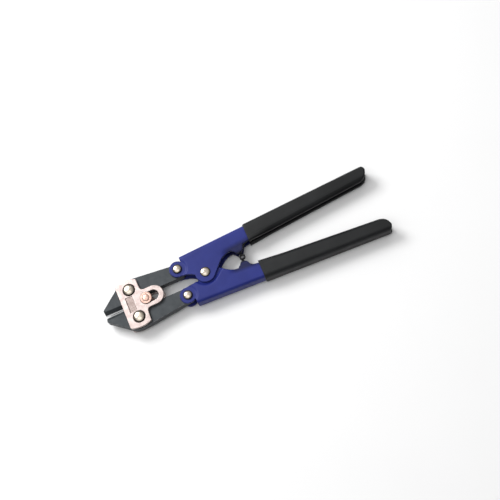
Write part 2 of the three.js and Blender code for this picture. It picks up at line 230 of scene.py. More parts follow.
def spaced(points, spacing, closed=True):
    """The same outline with its long sides divided, and without repeated points."""
    ends = points[1:] + points[:1] if closed else points[1:]
    divided = []
    for a, b in zip(points, ends):
        length = math.dist(a, b)
        if length < 1e-4:
            continue
        parts = max(1, math.ceil(length / spacing))
        divided += [tuple(p + (q - p) * i / parts for p, q in zip(a, b)) for i in range(parts)]
    return divided if closed else divided + [points[-1]]


def signed_area(loop):
    a = np.array(loop)
    b = np.roll(a, -1, axis=0)
    return float(np.sum(a[:, 0] * b[:, 1] - b[:, 0] * a[:, 1])) / 2


def material_on_left(loop):
    return loop if signed_area(loop) > 0 else loop[::-1]


def inset(loop, distances):
    """The loop moved into its material, by a distance for each of its points."""
    points = np.array(loop)
    forward = np.roll(points, -1, axis=0) - points
    forward /= np.linalg.norm(forward, axis=1)[:, None]
    left = np.stack([-forward[:, 1], forward[:, 0]], axis=1)
    before = np.roll(left, 1, axis=0)
    share = 1 + np.sum(left * before, axis=1)
    mitre = (left + before) / np.maximum(share, 0.5)[:, None]
    return points + mitre * np.asarray(distances).reshape(-1, 1)


def is_inside(points, loops):
    """For each point, whether it lies within the outer loop and outside the holes."""
    x, y = points[:, 0], points[:, 1]
    inside = np.zeros(len(points), bool)
    for loop in loops:
        a = np.array(loop)
        b = np.roll(a, -1, axis=0)
        for (ax, ay), (bx, by) in zip(a, b):
            if ay == by:
                continue
            crosses = (ay > y) != (by > y)
            inside ^= crosses & (x < ax + (y - ay) * (bx - ax) / (by - ay))
    return inside


def clear_of(points, loops, distance):
    """For each point, whether it is further than distance from every point of the loops."""
    corners = np.concatenate([np.array(loop) for loop in loops])
    clear = np.ones(len(points), bool)
    for i, point in enumerate(points):
        clear[i] = np.min(np.sum((corners - point) ** 2, axis=1)) > distance ** 2
    return clear


# ---- Mesh makers --------------------------------------------------------------------------------


def fill(loops, extra, clearance):
    """Triangles between the loops, through the extra points that lie clear of them.
    Returns the extra points used, and the triangles over the loops' points and then the extra ones."""
    extra = np.array(extra, float).reshape(-1, 2)
    if len(extra):
        extra = extra[is_inside(extra, loops)]
        extra = extra[clear_of(extra, loops, clearance)]
    corners = np.concatenate([np.array(loop) for loop in loops] + [extra])
    edges, start = [], 0
    for loop in loops:
        count = len(loop)
        edges += [(start + i, start + (i + 1) % count) for i in range(count)]
        start += count
    made = delaunay_2d_cdt([Vector(p) for p in corners], edges, [], 0, 1e-7)
    place, triangles, source = made[0], made[2], made[3]
    middles = np.array([sum((place[i] for i in t), Vector((0, 0))) / 3 for t in triangles])
    inside = is_inside(middles, loops)
    return extra, [[source[i][0] for i in t] for t, kept in zip(triangles, inside) if kept]


ROUND_STEPS = 4


def rim_profile(radius, thickness, steps=ROUND_STEPS, guard=0.12):
    """The rounded edge of a slab, as pairs of arrays: how far each point is inset, and how high it
    lies as a share of the thickness. radius may differ from point to point of a loop."""
    radius = np.asarray(radius, float)
    upper = [(radius + guard, np.ones_like(radius))]
    for i in range(steps + 1):
        turn = math.pi / 2 * i / steps
        upper.append((radius * (1 - math.sin(turn)), 1 - radius / thickness * (1 - math.cos(turn))))
    return upper + [(distance, 1 - share) for distance, share in reversed(upper)]


def rounded_slab(loops, radii, thickness, shape, extra=(), clearance=0.3):
    """A closed solid with rounded edges from a flat outline and its holes.
    shape(a, b, share) puts a flat point in the drawing frame, at a share of the thickness.
    Returns its points, its faces, and for each point how near it is to an edge, from 0 to 1."""
    points, faces, rims = [], [], []
    top, bottom, flat = [], [], []
    for loop, radius in zip(loops, radii):
        count = len(loop)
        radius = np.broadcast_to(np.asarray(radius, float), (count,))
        profile = rim_profile(radius, thickness)
        start = len(points)
        for level, (distance, share) in enumerate(profile):
            moved = inset(loop, distance)
            points += [shape(a, b, s) for (a, b), s in zip(moved, share)]
            on_round = 0 < min(level, len(profile) - 1 - level) <= ROUND_STEPS
            rims += [1 if on_round else 0] * count
        for level in range(len(profile) - 1):
            low, high = start + level * count, start + (level + 1) * count
            faces += [(low + i, low + (i + 1) % count, high + (i + 1) % count, high + i)
                      for i in range(count)]
        flat.append([tuple(p) for p in inset(loop, profile[0][0])])
        top += range(start, start + count)
        bottom += range(start + (len(profile) - 1) * count, start + len(profile) * count)
    extra, triangles = fill(flat, extra, clearance)
    for side, share in ((top, 1), (bottom, 0)):
        side += range(len(points), len(points) + len(extra))
        points += [shape(a, b, share) for a, b in extra]
        rims += [0] * len(extra)
    faces += [tuple(top[i] for i in t) for t in triangles]
    faces += [tuple(bottom[i] for i in reversed(t)) for t in triangles]
    return points, faces, rims


def turned(profile, centre, steps=72):
    """A solid of revolution about a vertical axis. profile lists (radius, height) points, and starts
    and ends on the axis or closes on itself."""
    points, faces, rings = [], [], []
    closed = profile[0] == profile[-1]
    for radius, height in (profile[:-1] if closed else profile):
        count = 1 if radius == 0 else steps
        rings.append(range(len(points), len(points) + count))
        points += [(*on_circle(centre, radius, 360 * i / count), height) for i in range(count)]
    pairs = list(zip(rings, rings[1:])) + ([(rings[-1], rings[0])] if closed else [])
    for low, high in pairs:
        for i in range(steps):
            j = (i + 1) % steps
            corners = [low[i % len(low)], low[j % len(low)], high[j % len(high)], high[i % len(high)]]
            faces.append(tuple(dict.fromkeys(corners)))
    widest = max(radius for radius, height in profile)
    return points, faces, [math.dist(p[:2], centre) / widest for p in points]


def filleted(profile, radius, steps=4):
    """A profile of straight lines with its corners rounded. A closed one keeps its first corner."""
    rounded = [profile[0]]
    for before, corner, after in zip(profile, profile[1:], profile[2:]):
        reach = min(radius, math.dist(before, corner) / 2.1, math.dist(corner, after) / 2.1)
        near = Vector(corner).lerp(Vector(before), reach / math.dist(before, corner))
        far = Vector(corner).lerp(Vector(after), reach / math.dist(corner, after))
        rounded += curve(tuple(near), corner, tuple(far), steps)
    return rounded + [profile[-1]]


def tube(path, radius, steps=20, cap_steps=4):
    """A round wire along a path, with rounded ends."""
    path = [Vector(p) for p in path]
    neighbours = zip(path[:1] + path[:-1], path[1:] + path[-1:])
    ahead = [(after - before).normalized() for before, after in neighbours]
    first, last = ahead[0] * radius, ahead[-1] * radius
    stations = []
    for i in range(cap_steps, 0, -1):
        turn = math.pi / 2 * i / cap_steps
        stations.append((path[0] - first * math.sin(turn), ahead[0], radius * math.cos(turn)))
    stations += [(p, a, radius) for p, a in zip(path, ahead)]
    for i in range(1, cap_steps + 1):
        turn = math.pi / 2 * i / cap_steps
        stations.append((path[-1] + last * math.sin(turn), ahead[-1], radius * math.cos(turn)))
    side = ahead[0].orthogonal().normalized()
    points, faces, rings = [], [], []
    for place, direction, size in stations:
        side = (side - direction * side.dot(direction)).normalized()
        other = direction.cross(side)
        count = steps if size > 1e-6 else 1
        rings.append(range(len(points), len(points) + count))
        for k in range(count):
            turn = 2 * math.pi * k / count
            points.append(tuple(place + (side * math.cos(turn) + other * math.sin(turn)) * size))
    for low, high in zip(rings, rings[1:]):
        for i in range(steps):
            j = (i + 1) % steps
            corners = [low[i % len(low)], low[j % len(low)], high[j % len(high)], high[i % len(high)]]
            faces.append(tuple(dict.fromkeys(corners)))
    return points, faces, [0] * len(points)


def add_piece(node, body, slot, made, turned_over=False):
    """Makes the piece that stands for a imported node, and lets it ride on its body."""
    points, faces, rims = made
    flip = -1 if turned_over else 1
    mesh = bpy.data.meshes.new(f"{node}_detailed")
    mesh.from_pydata([in_frame(u, flip * v, flip * z) for u, v, z in points], [], faces)
    rim = mesh.attributes.new("rim", "FLOAT", "POINT")
    rim.data.foreach_set("value", [float(x) for x in rims])
    work = bmesh.new()
    work.from_mesh(mesh)
    bmesh.ops.remove_doubles(work, verts=work.verts, dist=1e-7)
    bmesh.ops.recalc_face_normals(work, faces=work.faces)
    work.to_mesh(mesh)
    work.free()
    mesh.shade_smooth()
    mesh.materials.append(MATERIALS[slot])
    piece = bpy.data.objects.new(mesh.name, mesh)
    bpy.context.scene.collection.objects.link(piece)
    weighted = piece.modifiers.new("weighted_normals", "WEIGHTED_NORMAL")
    weighted.keep_sharp = False
    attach(piece, body)
    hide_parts(node)
    return piece


# ---- Finishes -----------------------------------------------------------------------------------


# A mix node's colour sockets share their names with its other sockets, so they go by number.
MIX_COLOUR_INPUTS = (6, 7)
MIX_COLOUR_OUTPUT = 2


class Surface:
    """A Principled material whose colour, roughness and bump vary with noise fixed to the piece."""

    def __init__(self, name, **settings):
        self.material = bpy.data.materials.new(name)
        self.material.use_nodes = True
        self.tree = self.material.node_tree
        self.shader = self.tree.nodes["Principled BSDF"]
        for socket, value in settings.items():
            self.shader.inputs[socket.replace("_", " ")].default_value = value
        self.coordinates = self.tree.nodes.new("ShaderNodeTexCoord").outputs["Object"]

    def link(self, output, node, socket):
        self.tree.links.new(output, node.inputs[socket])

    def noise(self, size, detail=4, stretch=(1, 1, 1), roughness=0.5):
        """Noise with features of about size millimetres, drawn out by stretch along each axis."""
        mapping = self.tree.nodes.new("ShaderNodeMapping")
        mapping.inputs["Scale"].default_value = [1 / (size * MM * s) for s in stretch]
        self.link(self.coordinates, mapping, "Vector")
        texture = self.tree.nodes.new("ShaderNodeTexNoise")
        texture.inputs["Scale"].default_value = 1
        texture.inputs["Detail"].default_value = detail
        texture.inputs["Roughness"].default_value = roughness
        self.link(mapping.outputs["Vector"], texture, "Vector")
        return texture.outputs["Fac"]

    def rim(self):
        """0 on a slab's faces, 1 on its rounded edges, 2 along a jaw's honed edge, painted near white as a
        painted highlight, and -1 where painted shade goes (plate recesses, spring tabs, turned-in lips); on
        a turned piece, the distance from the axis as a share of its radius."""
        attribute = self.tree.nodes.new("ShaderNodeAttribute")
        attribute.attribute_name = "rim"
        return attribute.outputs["Fac"]

    def remap(self, value, low, high, start=0.3, end=0.7):
        """Spreads a value between start and end over low to high."""
        ranged = self.tree.nodes.new("ShaderNodeMapRange")
        self.link(value, ranged, "Value")
        for socket, number in zip(("From Min", "From Max", "To Min", "To Max"), (start, end, low, high)):
            ranged.inputs[socket].default_value = number
        return ranged.outputs["Result"]

    def product(self, a, b):
        multiply = self.tree.nodes.new("ShaderNodeMath")
        multiply.operation = "MULTIPLY"
        self.link(a, multiply, 0)
        self.link(b, multiply, 1)
        return multiply.outputs["Value"]

    def mix(self, factor, first, second):
        """A colour between two colours, each a tuple or another node's output."""
        blend = self.tree.nodes.new("ShaderNodeMix")
        blend.data_type = "RGBA"
        self.link(factor, blend, "Factor")
        for index, colour in zip(MIX_COLOUR_INPUTS, (first, second)):
            if isinstance(colour, tuple):
                blend.inputs[index].default_value = (*colour, 1)
            else:
                self.tree.links.new(colour, blend.inputs[index])
        return blend.outputs[MIX_COLOUR_OUTPUT]

    def colour(self, output):
        self.link(output, self.shader, "Base Color")

    def roughness(self, output):
        self.link(output, self.shader, "Roughness")

    def bump(self, *heights):
        """Bumps of (noise, height in millimetres), laid over each other."""
        normal = None
        for value, height in heights:
            bump = self.tree.nodes.new("ShaderNodeBump")
            bump.inputs["Distance"].default_value = height * MM
            self.link(value, bump, "Height")
            if normal is not None:
                self.link(normal, bump, "Normal")
            normal = bump.outputs["Normal"]
        self.link(normal, self.shader, "Normal")


def jaw_steel():
    """Forged steel, blackened, with fine grinding marks and paler rubbed edges. Its honed edge is painted
    near white: bright honed steel, and also a painted highlight for the bright slit between the jaws.
    """
    surface = Surface("jaw_steel", Metallic=0.3, Specular_IOR_Level=0.35)
    cloud, grain = surface.noise(7, 5), surface.noise(0.35, 3, stretch=(1, 9, 1))
    body = surface.mix(surface.remap(cloud, 0, 1), (0.026, 0.031, 0.035), (0.044, 0.05, 0.055))
    rubbed = surface.product(surface.rim(), surface.remap(surface.noise(1.5, 5), 0, 1, 0.45, 0.7))
    worn = surface.mix(rubbed, body, (0.16, 0.16, 0.16))
    # Painted highlight: the honed edge (rim 2) gets a near-white colour. It is bright honed steel, and it
    # also stands for the light along the slit.
    surface.colour(surface.mix(surface.remap(surface.rim(), 0, 1, 1.2, 1.8), worn, (0.75, 0.76, 0.77)))
    surface.roughness(surface.remap(grain, 0.42, 0.6))
    surface.bump((surface.noise(0.5, 6), 0.02), (grain, 0.012))
    return surface.material


def nickel_plate():
    """Warm nickel plating over rolled sheet: soft mottling and fine scratches, with painted shade in the
    coined panel and the rivet seats.
    """
    surface = Surface("nickel_plate", Metallic=0.85)
    cloud, scratch = surface.noise(4, 6), surface.noise(0.25, 3, stretch=(1, 14, 1))
    body = surface.mix(surface.remap(cloud, 0, 1), (0.34, 0.275, 0.26), (0.49, 0.415, 0.395))
    bright = surface.remap(surface.noise(1.2, 4), 0, 1, 0.5, 0.75)
    plated = surface.mix(surface.product(surface.rim(), bright), body, (0.66, 0.6, 0.58))
    # Painted shade: the recessed panel and rivet seats (rim below 0) are painted darker, in patches.
    recess_shade = surface.product(surface.remap(surface.rim(), 1, 0, -1, 0),
                            surface.remap(surface.noise(0.8, 5), 0.4, 0.9))
    surface.colour(surface.mix(recess_shade, plated, (0.16, 0.12, 0.105)))
    surface.roughness(surface.remap(scratch, 0.3, 0.46))
    surface.bump((surface.noise(0.9, 5), 0.015), (scratch, 0.006))
    return surface.material


def rivet_steel():
    """Warm rivet heads, polished on the crown, and painted dark towards the rim as painted shade and
    painted reflection of dark surroundings.
    """
    surface = Surface("rivet_steel", Metallic=1.0)
    cloud = surface.noise(1.6, 5)
    crown = surface.mix(surface.remap(cloud, 0, 1), (0.4, 0.345, 0.28), (0.62, 0.55, 0.47))
    # Painted shade: the colour darkens from about half the head's radius out to its rim.
    surface.colour(surface.mix(surface.remap(surface.rim(), 0, 1, 0.5, 0.92), crown, (0.06, 0.05, 0.04)))
    surface.roughness(surface.remap(surface.noise(0.6, 4), 0.16, 0.3))
    surface.bump((surface.noise(0.8, 4), 0.012))
    return surface.material


def stud_steel():
    """Copper-washed steel with turning marks, painted dark along its outer rims as painted shade."""
    surface = Surface("stud_steel", Metallic=0.9)
    cloud = surface.noise(1.3, 5)
    face = surface.mix(surface.remap(cloud, 0, 1), (0.4, 0.24, 0.19), (0.56, 0.39, 0.335))
    # Painted shade: the outermost part of each turned piece is painted dark.
    surface.colour(surface.mix(surface.remap(surface.rim(), 0, 1, 0.86, 0.97), face, (0.07, 0.04, 0.03)))
    surface.roughness(surface.remap(surface.noise(0.5, 4), 0.25, 0.42))
    surface.bump((surface.noise(0.5, 4), 0.012))
    return surface.material


def blue_paint():
    """Royal blue stoved enamel with slight orange peel. It is darker along the sheet's edges, partly from
    thinner enamel and partly as painted shade for the dark the rounded edges reflect. Painted shade also
    darkens the spring tabs and the turned-in lips.
    """
    surface = Surface("blue_paint", Metallic=0.0, Specular_IOR_Level=0.2)
    cloud = surface.noise(14, 4)
    body = surface.mix(surface.remap(cloud, 0, 1), (0.013, 0.02, 0.15), (0.018, 0.027, 0.185))
    # Partly painted shade: the rounded edges are darkened, both as thinner enamel and as the dark their
    # rounding reflects.
    thin_and_shaded = surface.product(surface.rim(), surface.remap(surface.noise(1.2, 5), 0, 1, 0.4, 0.65))
    painted = surface.mix(thin_and_shaded, body, (0.007, 0.008, 0.05))
    # Painted shade: where the handle marks shade (rim below 0), on the spring tabs and turned-in lips, the
    # paint goes almost black.
    surface.colour(surface.mix(surface.remap(surface.rim(), 1, 0, -1, 0), painted, (0.003, 0.0035, 0.013)))
    surface.roughness(surface.remap(surface.noise(3, 5), 0.32, 0.46))
    surface.bump((surface.noise(0.7, 3), 0.012), (surface.noise(5, 2), 0.03))
    return surface.material


def black_vinyl():
    """Dipped vinyl: satin skin with a fine leathery grain and faint rubbed patches."""
    surface = Surface("black_vinyl", Metallic=0.0, Specular_IOR_Level=0.25)
    cloud = surface.noise(18, 5)
    surface.colour(surface.mix(surface.remap(cloud, 0, 1), (0.005, 0.0055, 0.006), (0.011, 0.012, 0.013)))
    surface.roughness(surface.remap(surface.noise(6, 5), 0.42, 0.56))
    surface.bump((surface.noise(0.35, 4), 0.012), (surface.noise(4, 3), 0.04))
    return surface.material


def spring_wire():
    """Blackened spring wire with a drawn finish."""
    surface = Surface("spring_wire", Metallic=0.8)
    cloud = surface.noise(1, 5)
    surface.colour(surface.mix(surface.remap(cloud, 0, 1), (0.02, 0.02, 0.022), (0.05, 0.05, 0.054)))
    surface.roughness(surface.remap(surface.noise(0.4, 4), 0.3, 0.45))
    surface.bump((surface.noise(0.3, 4), 0.006))
    return surface.material


MATERIALS = {make.__name__: make() for make in (
    jaw_steel, nickel_plate, rivet_steel, stud_steel, blue_paint, black_vinyl, spring_wire)}

# ---- Jaws ---------------------------------------------------------------------------------------


def edge_v(u):
    """The upper jaw's cutting edge: parallel to the lower one when the jaws are shut."""
    return EDGE_CLEARANCE + (JAW_PIVOT[0] - u) * math.tan(CLOSING_ANGLE)


def jaw_outline():
    outline = [(0.2, edge_v(0.2)), (EDGE_LENGTH, edge_v(EDGE_LENGTH)),
               (EDGE_LENGTH + 0.6, JAW_MIDDLE_GAP), (21.3, JAW_MIDDLE_GAP), (34.6, TANG_INNER)]
    outline += arc(TANG_END, TANG_END_RADIUS, -90, 83, 24)
    outline += curve((32, 17.45), (20, 19), (16.6, 17.6), 16)
    outline += curve((16.6, 17.6), (15.2, 17), (13.6, 15.4), 6)
    outline += [(0.5, 4.9)] + curve((0.5, 4.9), (0, 4.5), (0, 4), 3)
    return material_on_left(spaced(outline, 0.9))


def jaw_shape(u, v, share):
    """Full thickness, thinned by the ground bevels to a narrow land along the cutting edge."""
    ground = EDGE_LAND + BEVEL_SLOPE * max(0, v - edge_v(u))
    run_out = max(0, u - BEVEL_END) * BEVEL_END_SLOPE
    half = min(JAW_FACE, ground + run_out)
    return u, v, (2 * share - 1) * half


def jaw():
    """A forged jaw. Rows of points on both sides of each crease keep the creases crisp."""
    crease = (JAW_FACE - EDGE_LAND) / BEVEL_SLOPE
    rows = [crease - 0.12, crease + 0.12, crease * 0.5, HONED_AND_LIT_WIDTH + 0.25]
    extra = [(u, edge_v(u) + row) for row in rows for u in np.arange(0.8, BEVEL_END + 1, 0.6)]
    extra += [(u, edge_v(u) + row) for row in (1, 2) for u in (BEVEL_END, BEVEL_END + 0.8)]
    loops = [jaw_outline(), circle(JAW_PIVOT, JAW_PIN_SHANK + TURNING_GAP),
             circle(EAR_PIVOT, EAR_RIVET_SHANK + TURNING_GAP)]
    points, faces, rims = rounded_slab(loops, [JAW_ROUND] * 3, 2 * JAW_FACE, jaw_shape, extra)
    # The strip along the cutting edge is marked 2 for a near-white colour: bright honed steel, and a
    # painted highlight along the slit.
    honed_and_lit = [u < EDGE_LENGTH and v < edge_v(u) + HONED_AND_LIT_WIDTH for u, v, z in points]
    return points, faces, [2 if bright else rim for bright, rim in zip(honed_and_lit, rims)]


# ---- Link plates --------------------------------------------------------------------------------


def smooth_step(value, start, end):
    t = min(1, max(0, (value - start) / (end - start)))
    return t * t * (3 - 2 * t)


def plate_outline():
    """The front edge, the rounded shoulders and the round-ended tongue behind the jaws."""
    half = [(PLATE_FRONT, 0), (PLATE_FRONT, 15.2)]
    half += curve((PLATE_FRONT, 15.2), (PLATE_FRONT, 16.4), (14.7, 16.7), 6)
    half += curve((14.7, 16.7), (21.8, PLATE_CROWN), (28.3, 16.5), 18)
    half += curve((28.3, 16.5), (29.2, 16.2), (29.1, 15.3), 5)
    half += curve((29.3, 9.6), (29.5, TONGUE_RADIUS), (32.4, TONGUE_RADIUS), 8)
    half += arc(TONGUE_END, TONGUE_RADIUS, 90, 0, 20)
    mirrored = [(u, -v) for u, v in reversed(half)]
    return material_on_left(spaced(half + mirrored, 0.8))


def slot_outline():
    back = arc(SLOT_BACK, SLOT_RADIUS, 90, -90, 24)
    front = arc(SLOT_FRONT, SLOT_RADIUS, 270, 90, 24)
    return material_on_left(spaced(back + front, 0.7))[::-1]


def panel_distance(u, v):
    """How far a point lies outside the coined panel's edge; negative inside it."""
    beyond_u = abs(u - PANEL_MIDDLE[0]) - PANEL_HALF_WIDTH
    beyond_v = abs(v - PANEL_MIDDLE[1]) - PANEL_HALF_HEIGHT
    return max(beyond_u, beyond_v)


def plate_depth(u, v):
    """How far the plate's face is sunk: the coined panel, and a seat round each jaw rivet."""
    panel = 1 - smooth_step(panel_distance(u, v), *PANEL_STEP)
    from_heads = [math.dist((u, v), (JAW_PIVOT[0], side * JAW_PIVOT[1])) - JAW_PIN_HEAD for side in (1, -1)]
    seats = [1 - smooth_step(distance, *SEAT_STEP) for distance in from_heads]
    return RECESS_DEPTH * max(panel, *seats)


def plate_shape(u, v, share):
    top = PLATE_FACE - plate_depth(u, v)
    return u, v, PLATE_BOTTOM + share * (top - PLATE_BOTTOM)


def panel_ring(offset):
    """Points along a rectangle at an offset from the panel's edge."""
    half_u, half_v = PANEL_HALF_WIDTH + offset, PANEL_HALF_HEIGHT + offset
    corners = [(PANEL_MIDDLE[0] + a * half_u, PANEL_MIDDLE[1] + b * half_v)
               for a, b in ((-1, -1), (1, -1), (1, 1), (-1, 1))]
    return spaced(corners, 0.4)


def link_plate():
    """A slotted plate. Rings of points follow the steps round its panel and rivet seats."""
    panel_start, panel_end = PANEL_STEP
    panel_rings = (-0.5, panel_start, -0.03, panel_end, 0.4)
    seat_start, seat_end = SEAT_STEP
    seat_rings = (-0.3, seat_start, 0.22, seat_end, 0.6)
    extra = [p for offset in panel_rings for p in panel_ring(offset)]
    for side in (1, -1):
        pin = (JAW_PIVOT[0], side * JAW_PIVOT[1])
        for offset in seat_rings:
            extra += circle(pin, JAW_PIN_HEAD + offset, 64)
    extra = [p for p in extra if panel_distance(*p) < 0.5 or panel_distance(*p) > 0.6]
    pins = [circle((JAW_PIVOT[0], side * JAW_PIVOT[1]), JAW_PIN_SHANK + TURNING_GAP) for side in (1, -1)]
    loops = [plate_outline(), slot_outline(), *pins]
    rounds = [PLATE_ROUND, SLOT_ROUND, PIN_HOLE_ROUND, PIN_HOLE_ROUND]
    thickness = PLATE_FACE - PLATE_BOTTOM
    middle = PLATE_BOTTOM + thickness / 2
    points, faces, rims = rounded_slab(loops, rounds, thickness, plate_shape, extra, 0.2)
    # Points on the upper face inside the recesses get a negative mark from the recess depth, so the
    # material paints shade there.
    sunk = [-plate_depth(u, v) / RECESS_DEPTH if z > middle else 0 for u, v, z in points]
    return points, faces, [recess if recess < 0 else rim for recess, rim in zip(sunk, rims)]


# ---- Handles and grips --------------------------------------------------------------------------
# A handle is one pressed sheet. Its flat pattern has p along the web and b across it, from the
# middle of the web: |b| up to WEB_HALF is web, then a bend, then a flange.

WEB_HALF = CHANNEL_FACE - BEND_RADIUS
BEND_MIDDLE = BEND_RADIUS - SHEET / 2
BEND_LENGTH = BEND_MIDDLE * math.pi / 2
FLANGE_START = WEB_HALF + BEND_LENGTH
ALONG = (math.cos(WEB_ANGLE), math.sin(WEB_ANGLE))
INWARD = (math.sin(WEB_ANGLE), -math.cos(WEB_ANGLE))


def flat_point(u, v):
    """A point of the upper flange, seen from above, in the flat pattern."""
    du, dv = u - WEB_FRONT[0], v - WEB_FRONT[1]
    depth = du * INWARD[0] + dv * INWARD[1]
    return du * ALONG[0] + dv * ALONG[1], depth - BEND_RADIUS + FLANGE_START


def lifted(p, depth, z):
    """A point p along the web and depth inwards from its outer face, in the drawing frame."""
    return (WEB_FRONT[0] + p * ALONG[0] + depth * INWARD[0],
            WEB_FRONT[1] + p * ALONG[1] + depth * INWARD[1], z)


def section_point(b, radius, half, depth_offset):
    """A point of the channel's section at pattern place b, as (depth, height over the middle plane).
    The bend turns about the same centre line with the given radius; half is the flat web's half width."""
    side = 1 if b >= 0 else -1
    b = abs(b)
    centre_depth, centre_height = depth_offset, half
    if b <= WEB_HALF:
        return centre_depth - radius, side * b * half / WEB_HALF
    if b <= FLANGE_START:
        turn = (b - WEB_HALF) / BEND_MIDDLE
        return centre_depth - radius * math.cos(turn), side * (centre_height + radius * math.sin(turn))
    beyond = b - FLANGE_START
    slack = depth_offset - BEND_RADIUS
    settle = slack * max(0, 1 - beyond / (3 * slack)) ** 2 if slack > 0 else 0
    return BEND_RADIUS + beyond + settle, side * (centre_height + radius)


def polygon_distance(point, polygon):
    """Distance from a point to a filled polygon, 0 inside it."""
    if is_inside(np.array([point]), [polygon])[0]:
        return 0
    nearest = math.inf
    for a, b in zip(polygon, polygon[1:] + polygon[:1]):
        side = Vector(b) - Vector(a)
        t = min(1, max(0, (Vector(point) - Vector(a)).dot(side) / side.length_squared))
        nearest = min(nearest, math.dist(point, Vector(a) + side * t))
    return nearest


def crossing_ground():
    """Where the two flanges cross behind the handle pivot."""
    x, y = HANDLE_PIVOT
    return [(x, y - 7), (x + 14, y - 9), (x + 12.1, y - 0.6), (x + 5.2, y + 5.2), (x, y)]


def press_depth(u, v, has_inner_lobes):
    """How far the flange is pressed in at a point: at the ear, and at the lower handle's pivot lobe."""
    ear = 1 - smooth_step(math.dist((u, v), EAR_PIVOT) - EAR_RADIUS, *EAR_STEP)
    depth = (CHANNEL_FACE - EAR_FACE) * ear
    if has_inner_lobes and u < HANDLE_PIVOT[0] + LOBE_REACH:
        beyond = min(max(0, math.dist((u, v), HANDLE_PIVOT) - PIVOT_LOBE_RADIUS),
                     polygon_distance((u, v), crossing_ground()))
        lobe = 1 - smooth_step(beyond, *LOBE_STEP)
        depth = max(depth, (CHANNEL_FACE - INNER_LOBE_FACE) * lobe)
    return max(depth, STEEL_LIP_DROP * steel_lip(u, v), TAB_PRESS * spring_tab(u, v))


def steel_lip(u, v):
    """How far the bare part of a handle's inner edge is turned in, from 1 at the edge to 0."""
    return smooth_step(u, *STEEL_LIP_FADE) * lip_share(v - inner_edge_v(u))


def spring_tab(u, v):
    """How far the tab that holds the spring is turned in, from 0 at its root to 1."""
    front, top = SPRING_TAB[0][0] - 1, SPRING_TAB[2]
    back = SPRING_TAB[-1][0]
    along = smooth_step(u, front, top[0]) * smooth_step(-u, -back - 2, -back + 1)
    return along * smooth_step(-v, -TAB_ROOT, -top[1])


def lip_share(to_lip):
    """How far the rolled inner lip is turned in, from 1 at the lip to 0 a lip's width away."""
    return (1 - min(1, max(0, to_lip / LIP_WIDTH))) ** LIP_CURVE


def handle_shape(has_inner_lobes):
    def shape(p, b, share):
        radius = BEND_RADIUS - SHEET * (1 - share)
        depth, height = section_point(b, radius, WEB_HALF, BEND_RADIUS)
        u, v, z = lifted(p, depth, height)
        pressed = press_depth(u, v, has_inner_lobes) if abs(b) > WEB_HALF else 0
        return u, v, z - math.copysign(pressed, z)
    return shape


def inner_edge_v(u, grow=0):
    return INNER_EDGE[1] + INNER_EDGE_SLOPE * (u - INNER_EDGE[0]) - grow


def web_v(u):
    return WEB_FRONT[1] + math.tan(WEB_ANGLE) * (u - WEB_FRONT[0])


def rear_corner(grow):
    """The well rounded inner corner at a flange's rear end."""
    end = HANDLE_END + grow
    return curve((end - 6.5, inner_edge_v(end - 6.5, grow)),
                 (end - 1.4, inner_edge_v(end, grow) + 0.6), (end, web_v(end) + grow - 3.9), 12)


def whole_pattern(front, edge, spacing):
    """The flat pattern of a channel: its front end and the upper flange's edge, rounded off into the
    web's rear end, and their mirror image."""
    flange = [flat_point(u, v) for u, v in edge]
    end, corner = flange[-1]
    rear = curve(flange[-1], (end + 0.1, (corner + WEB_HALF) / 2), (end - 1.6, WEB_HALF), 8)
    half = front + flange + rear[1:] + [(end - 1.7, 0)]
    return material_on_left(spaced(half + [(p, -b) for p, b in reversed(half)], spacing))


def handle_outline(throat, lobe_angle):
    """Ear, throat, pivot lobe, the scallop behind it, the spring's tab, and the long straight edge."""
    ear_top = math.degrees(math.acos((WEB_FRONT[0] - EAR_PIVOT[0]) / EAR_RADIUS))
    edge = arc(EAR_PIVOT, EAR_RADIUS, ear_top, 275, 40)
    edge += curve(edge[-1], throat, on_circle(HANDLE_PIVOT, PIVOT_LOBE_RADIUS, lobe_angle), 12)[1:]
    edge += arc(HANDLE_PIVOT, PIVOT_LOBE_RADIUS, lobe_angle, 322, 36)[1:]
    edge += curve((87.6, 2.2), (91.8, 6.9), (98, 6.9), 14)
    edge += SPRING_TAB + [(GRIP_START, inner_edge_v(GRIP_START))]
    edge += rear_corner(0)
    return whole_pattern([(0, 0), (0.1, WEB_HALF)], edge, 0.7)


def pattern_rows():
    """Rows of the flat pattern: far apart on the web, close together in the bends."""
    rows = [0.01, 1.4] + [WEB_HALF + BEND_LENGTH * i / 8 for i in range(9)]
    return [side * row for row in rows for side in (1, -1)]


